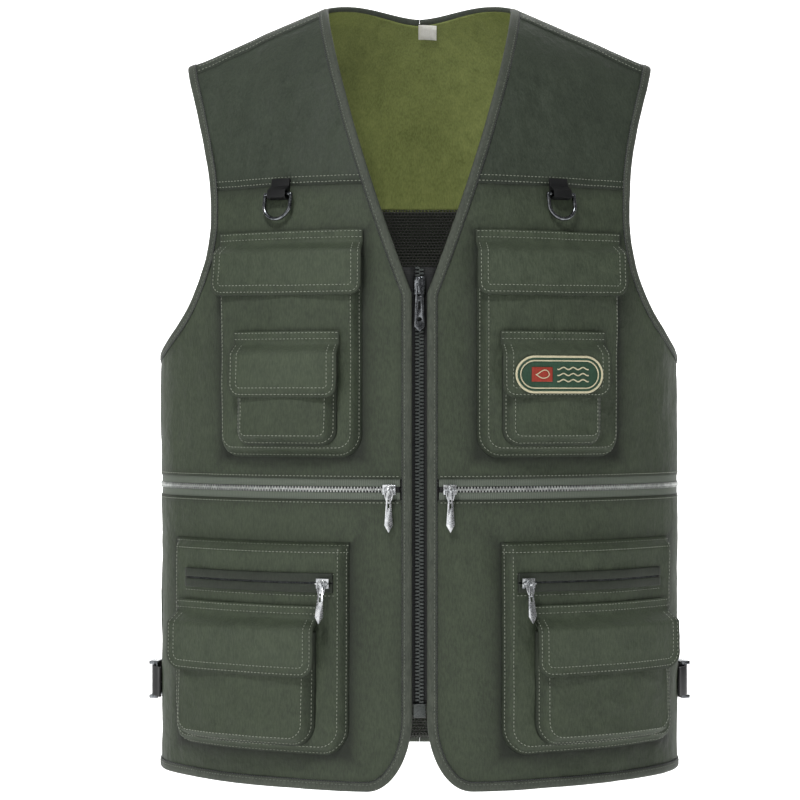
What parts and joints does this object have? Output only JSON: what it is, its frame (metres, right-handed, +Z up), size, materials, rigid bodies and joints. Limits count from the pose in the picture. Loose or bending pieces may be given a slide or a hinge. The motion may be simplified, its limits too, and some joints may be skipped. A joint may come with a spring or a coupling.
{
  "type": "fishing vest",
  "caption": "Sleeveless multi-pocket vest with a zipped front, bound edges, flap pockets, zipped bellows pockets, accessory rings, side adjusters and a mesh lining.",
  "frame": {"origin": "midway between the two high shoulder points, where the vest rests on its wearer", "axes": "+Z up towards the neck, the front of the vest faces -Y, +X to the right as seen from the front"},
  "size_m": [0.4822, 0.2745, 0.6783],
  "materials": {
    "shell_cloth": "grey-green woven cotton, matt",
    "yoke_cloth": "darker grey-green woven cotton, matt",
    "binding": "grey-green woven edge tape",
    "olive_lining": "olive woven lining",
    "mesh_lining": "dark open knit mesh",
    "zip_tape": "grey-green zip tape with metal teeth",
    "black_zip": "black zip tape with moulded teeth",
    "black_moulding": "black moulded plastic",
    "webbing": "black woven webbing",
    "silver_metal": "worn nickel plate",
    "gunmetal": "dark gunmetal plate",
    "badge": "dark green woven badge with a cream border",
    "label": "white woven satin"
  },
  "bodies": {
    "vest": {"adjuster_strap_left": "webbing", "adjuster_strap_right": "webbing", "armhole_binding_left": "binding", "armhole_binding_right": "binding", "back_body": "shell_cloth", "back_yoke": "yoke_cloth", "bellows_pocket_left": "shell_cloth", "bellows_pocket_right": "shell_cloth", "chest_pocket_left": "shell_cloth", "chest_pocket_right": "shell_cloth", "edge_binding_left": "binding", "edge_binding_right": "binding", "face_pocket_left": "shell_cloth", "face_pocket_right": "shell_cloth", "front_chest_left": "shell_cloth", "front_chest_right": "shell_cloth", "front_skirt_left": "shell_cloth", "front_skirt_right": "shell_cloth", "front_yoke_left": "yoke_cloth", "front_yoke_right": "yoke_cloth", "front_zip_box": "black_moulding", "front_zip_tape_left": "black_zip", "front_zip_tape_right": "black_zip", "lining_mesh": "mesh_lining", "lining_yoke": "olive_lining", "neck_label": "label", "pocket_zip_left": "zip_tape", "pocket_zip_right": "zip_tape", "ring_tab_left": "webbing", "ring_tab_right": "webbing", "small_pocket_left": "shell_cloth", "small_pocket_right": "shell_cloth", "waist_zip_left": "zip_tape", "waist_zip_right": "zip_tape"},
    "front_slider": {"front_zip_slider": "gunmetal"},
    "front_pull": {"front_zip_pull": "gunmetal"},
    "waist_slider_left": {"waist_slider_left": "silver_metal"},
    "waist_pull_left": {"waist_pull_left": "silver_metal"},
    "pocket_slider_left": {"pocket_slider_left": "silver_metal"},
    "pocket_pull_left": {"pocket_pull_left": "silver_metal"},
    "chest_flap_left": {"chest_flap_left": "shell_cloth"},
    "small_flap_left": {"small_flap_left": "shell_cloth"},
    "face_flap_left": {"face_flap_left": "shell_cloth"},
    "accessory_ring_left": {"accessory_ring_left": "gunmetal"},
    "adjuster_buckle_left": {"adjuster_buckle_left": "gunmetal"},
    "waist_slider_right": {"waist_slider_right": "silver_metal"},
    "waist_pull_right": {"waist_pull_right": "silver_metal"},
    "pocket_slider_right": {"pocket_slider_right": "silver_metal"},
    "pocket_pull_right": {"pocket_pull_right": "silver_metal"},
    "chest_flap_right": {"chest_flap_right": "shell_cloth"},
    "small_flap_right": {"small_flap_right": "shell_cloth", "badge": "badge"},
    "face_flap_right": {"face_flap_right": "shell_cloth"},
    "accessory_ring_right": {"accessory_ring_right": "gunmetal"},
    "adjuster_buckle_right": {"adjuster_buckle_right": "gunmetal"}
  },
  "joints": [
    {"name": "front_zip", "type": "slide", "parent": "vest", "child": "front_slider", "axis": [0, 0, -1], "range_m": [0, 0.337]},
    {"name": "front_pull_lift", "type": "hinge", "parent": "front_slider", "child": "front_pull", "pos_m": [0, -0.13585, -0.2555], "axis": [-1, 0, 0], "range_deg": [0, 150]},
    {"name": "waist_zip_left", "type": "hinge", "parent": "vest", "child": "waist_slider_left", "pos_m": [0, 0.16197, -0.424], "axis": [0, 0, -1], "range_deg": [0, 38]},
    {"name": "waist_pull_lift_left", "type": "hinge", "parent": "waist_slider_left", "child": "waist_pull_left", "pos_m": [-0.02541, -0.13913, -0.424], "axis": [-0.9965, 0.0841, 0], "range_deg": [0, 150]},
    {"name": "pocket_zip_left", "type": "hinge", "parent": "vest", "child": "pocket_slider_left", "pos_m": [0, 0.16197, -0.501], "axis": [0, 0, -1], "range_deg": [0, 23]},
    {"name": "pocket_pull_lift_left", "type": "hinge", "parent": "pocket_slider_left", "child": "pocket_pull_left", "pos_m": [-0.08078, -0.14257, -0.501], "axis": [-0.9666, 0.2564, 0], "range_deg": [0, 130]},
    {"name": "chest_flap_lift_left", "type": "hinge", "parent": "vest", "child": "chest_flap_left", "pos_m": [-0.12572, -0.10524, -0.21671], "axis": [-0.8921, 0.4519, -0.0001], "range_deg": [0, 110]},
    {"name": "small_flap_lift_left", "type": "hinge", "parent": "vest", "child": "small_flap_left", "pos_m": [-0.11235, -0.12735, -0.301], "axis": [-0.9322, 0.362, 0], "range_deg": [0, 90]},
    {"name": "face_flap_lift_left", "type": "hinge", "parent": "vest", "child": "face_flap_left", "pos_m": [-0.1497, -0.10877, -0.528], "axis": [-0.8751, 0.4839, 0], "range_deg": [0, 100]},
    {"name": "ring_swing_left", "type": "hinge", "parent": "vest", "child": "accessory_ring_left", "pos_m": [-0.11871, -0.1041, -0.1772], "axis": [-0.9019, 0.4319, 0], "range_deg": [0, 110]},
    {"name": "buckle_slide_left", "type": "hinge", "parent": "vest", "child": "adjuster_buckle_left", "pos_m": [-0.159, 0, -0.599], "axis": [0, 0, -1], "range_deg": [0, 20]},
    {"name": "waist_zip_right", "type": "hinge", "parent": "vest", "child": "waist_slider_right", "pos_m": [0, 0.16197, -0.424], "axis": [0, 0, 1], "range_deg": [0, 38]},
    {"name": "waist_pull_lift_right", "type": "hinge", "parent": "waist_slider_right", "child": "waist_pull_right", "pos_m": [0.02541, -0.13913, -0.424], "axis": [-0.9965, -0.0841, 0], "range_deg": [0, 150]},
    {"name": "pocket_zip_right", "type": "hinge", "parent": "vest", "child": "pocket_slider_right", "pos_m": [0, 0.16197, -0.501], "axis": [0, 0, 1], "range_deg": [0, 23]},
    {"name": "pocket_pull_lift_right", "type": "hinge", "parent": "pocket_slider_right", "child": "pocket_pull_right", "pos_m": [0.09099, -0.13968, -0.501], "axis": [-0.9574, -0.2888, 0], "range_deg": [0, 130]},
    {"name": "chest_flap_lift_right", "type": "hinge", "parent": "vest", "child": "chest_flap_right", "pos_m": [0.12572, -0.10524, -0.21671], "axis": [-0.8921, -0.4519, 0.0001], "range_deg": [0, 110]},
    {"name": "small_flap_lift_right", "type": "hinge", "parent": "vest", "child": "small_flap_right", "pos_m": [0.11235, -0.12735, -0.301], "axis": [-0.9322, -0.362, 0], "range_deg": [0, 90]},
    {"name": "face_flap_lift_right", "type": "hinge", "parent": "vest", "child": "face_flap_right", "pos_m": [0.15873, -0.10357, -0.528], "axis": [-0.8583, -0.5131, 0], "range_deg": [0, 100]},
    {"name": "ring_swing_right", "type": "hinge", "parent": "vest", "child": "accessory_ring_right", "pos_m": [0.11871, -0.1041, -0.1772], "axis": [-0.9019, -0.4319, 0], "range_deg": [0, 110]},
    {"name": "buckle_slide_right", "type": "hinge", "parent": "vest", "child": "adjuster_buckle_right", "pos_m": [0.159, 0, -0.599], "axis": [0, 0, 1], "range_deg": [0, 20]}
  ]
}
